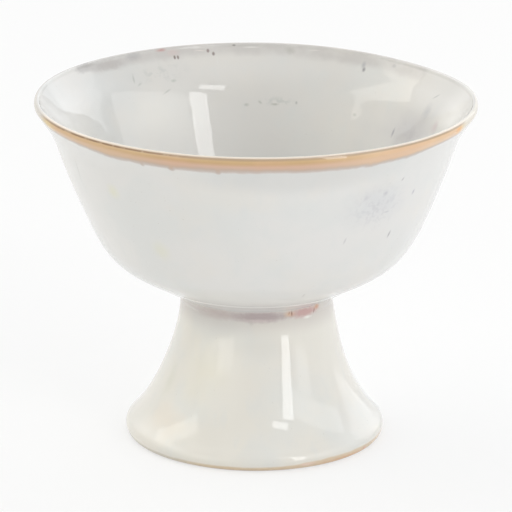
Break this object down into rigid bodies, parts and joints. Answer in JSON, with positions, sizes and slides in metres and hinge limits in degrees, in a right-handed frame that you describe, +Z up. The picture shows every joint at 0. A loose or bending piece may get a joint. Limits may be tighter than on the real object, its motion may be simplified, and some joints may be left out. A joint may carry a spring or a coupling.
{
  "type": "footed compote bowl",
  "caption": "Footed compote bowl in glazed stoneware: a round bowl with a flared, banded lip on a hollow trumpet pedestal.",
  "frame": {"origin": "on the bowl's axis, in the plane that the foot ring stands on", "axes": "+Z up along the axis of the bowl and its pedestal; X and Y are alike, because every piece is turned about Z"},
  "size_m": [0.16, 0.16, 0.127],
  "materials": {
    "stoneware": "bare fired stoneware, matt and slightly gritty",
    "slip": "fired slip of the same clay, matt",
    "outside_glaze": "glossy pale reactive glaze with faint ivory and blue-grey patches",
    "inside_glaze": "glossy pale reactive glaze with grey mottling and small brown specks",
    "lip_band": "glossy golden tan glaze that fades to mauve at its lower edge",
    "inner_lip_band": "glossy grey-mauve glaze",
    "neck_glaze_pool": "glossy pooled mauve glaze with rust-pink streaks",
    "pedestal_glaze": "glossy ivory glaze",
    "hollow_glaze": "glossy thin ivory glaze"
  },
  "bodies": {
    "root": {"bowl": "stoneware", "pedestal": "stoneware", "joining_slip": "slip", "outside_glaze": "outside_glaze", "inside_glaze": "inside_glaze", "lip_band": "lip_band", "inner_lip_band": "inner_lip_band", "neck_glaze_pool": "neck_glaze_pool", "pedestal_glaze": "pedestal_glaze", "hollow_glaze": "hollow_glaze"}
  },
  "joints": []
}
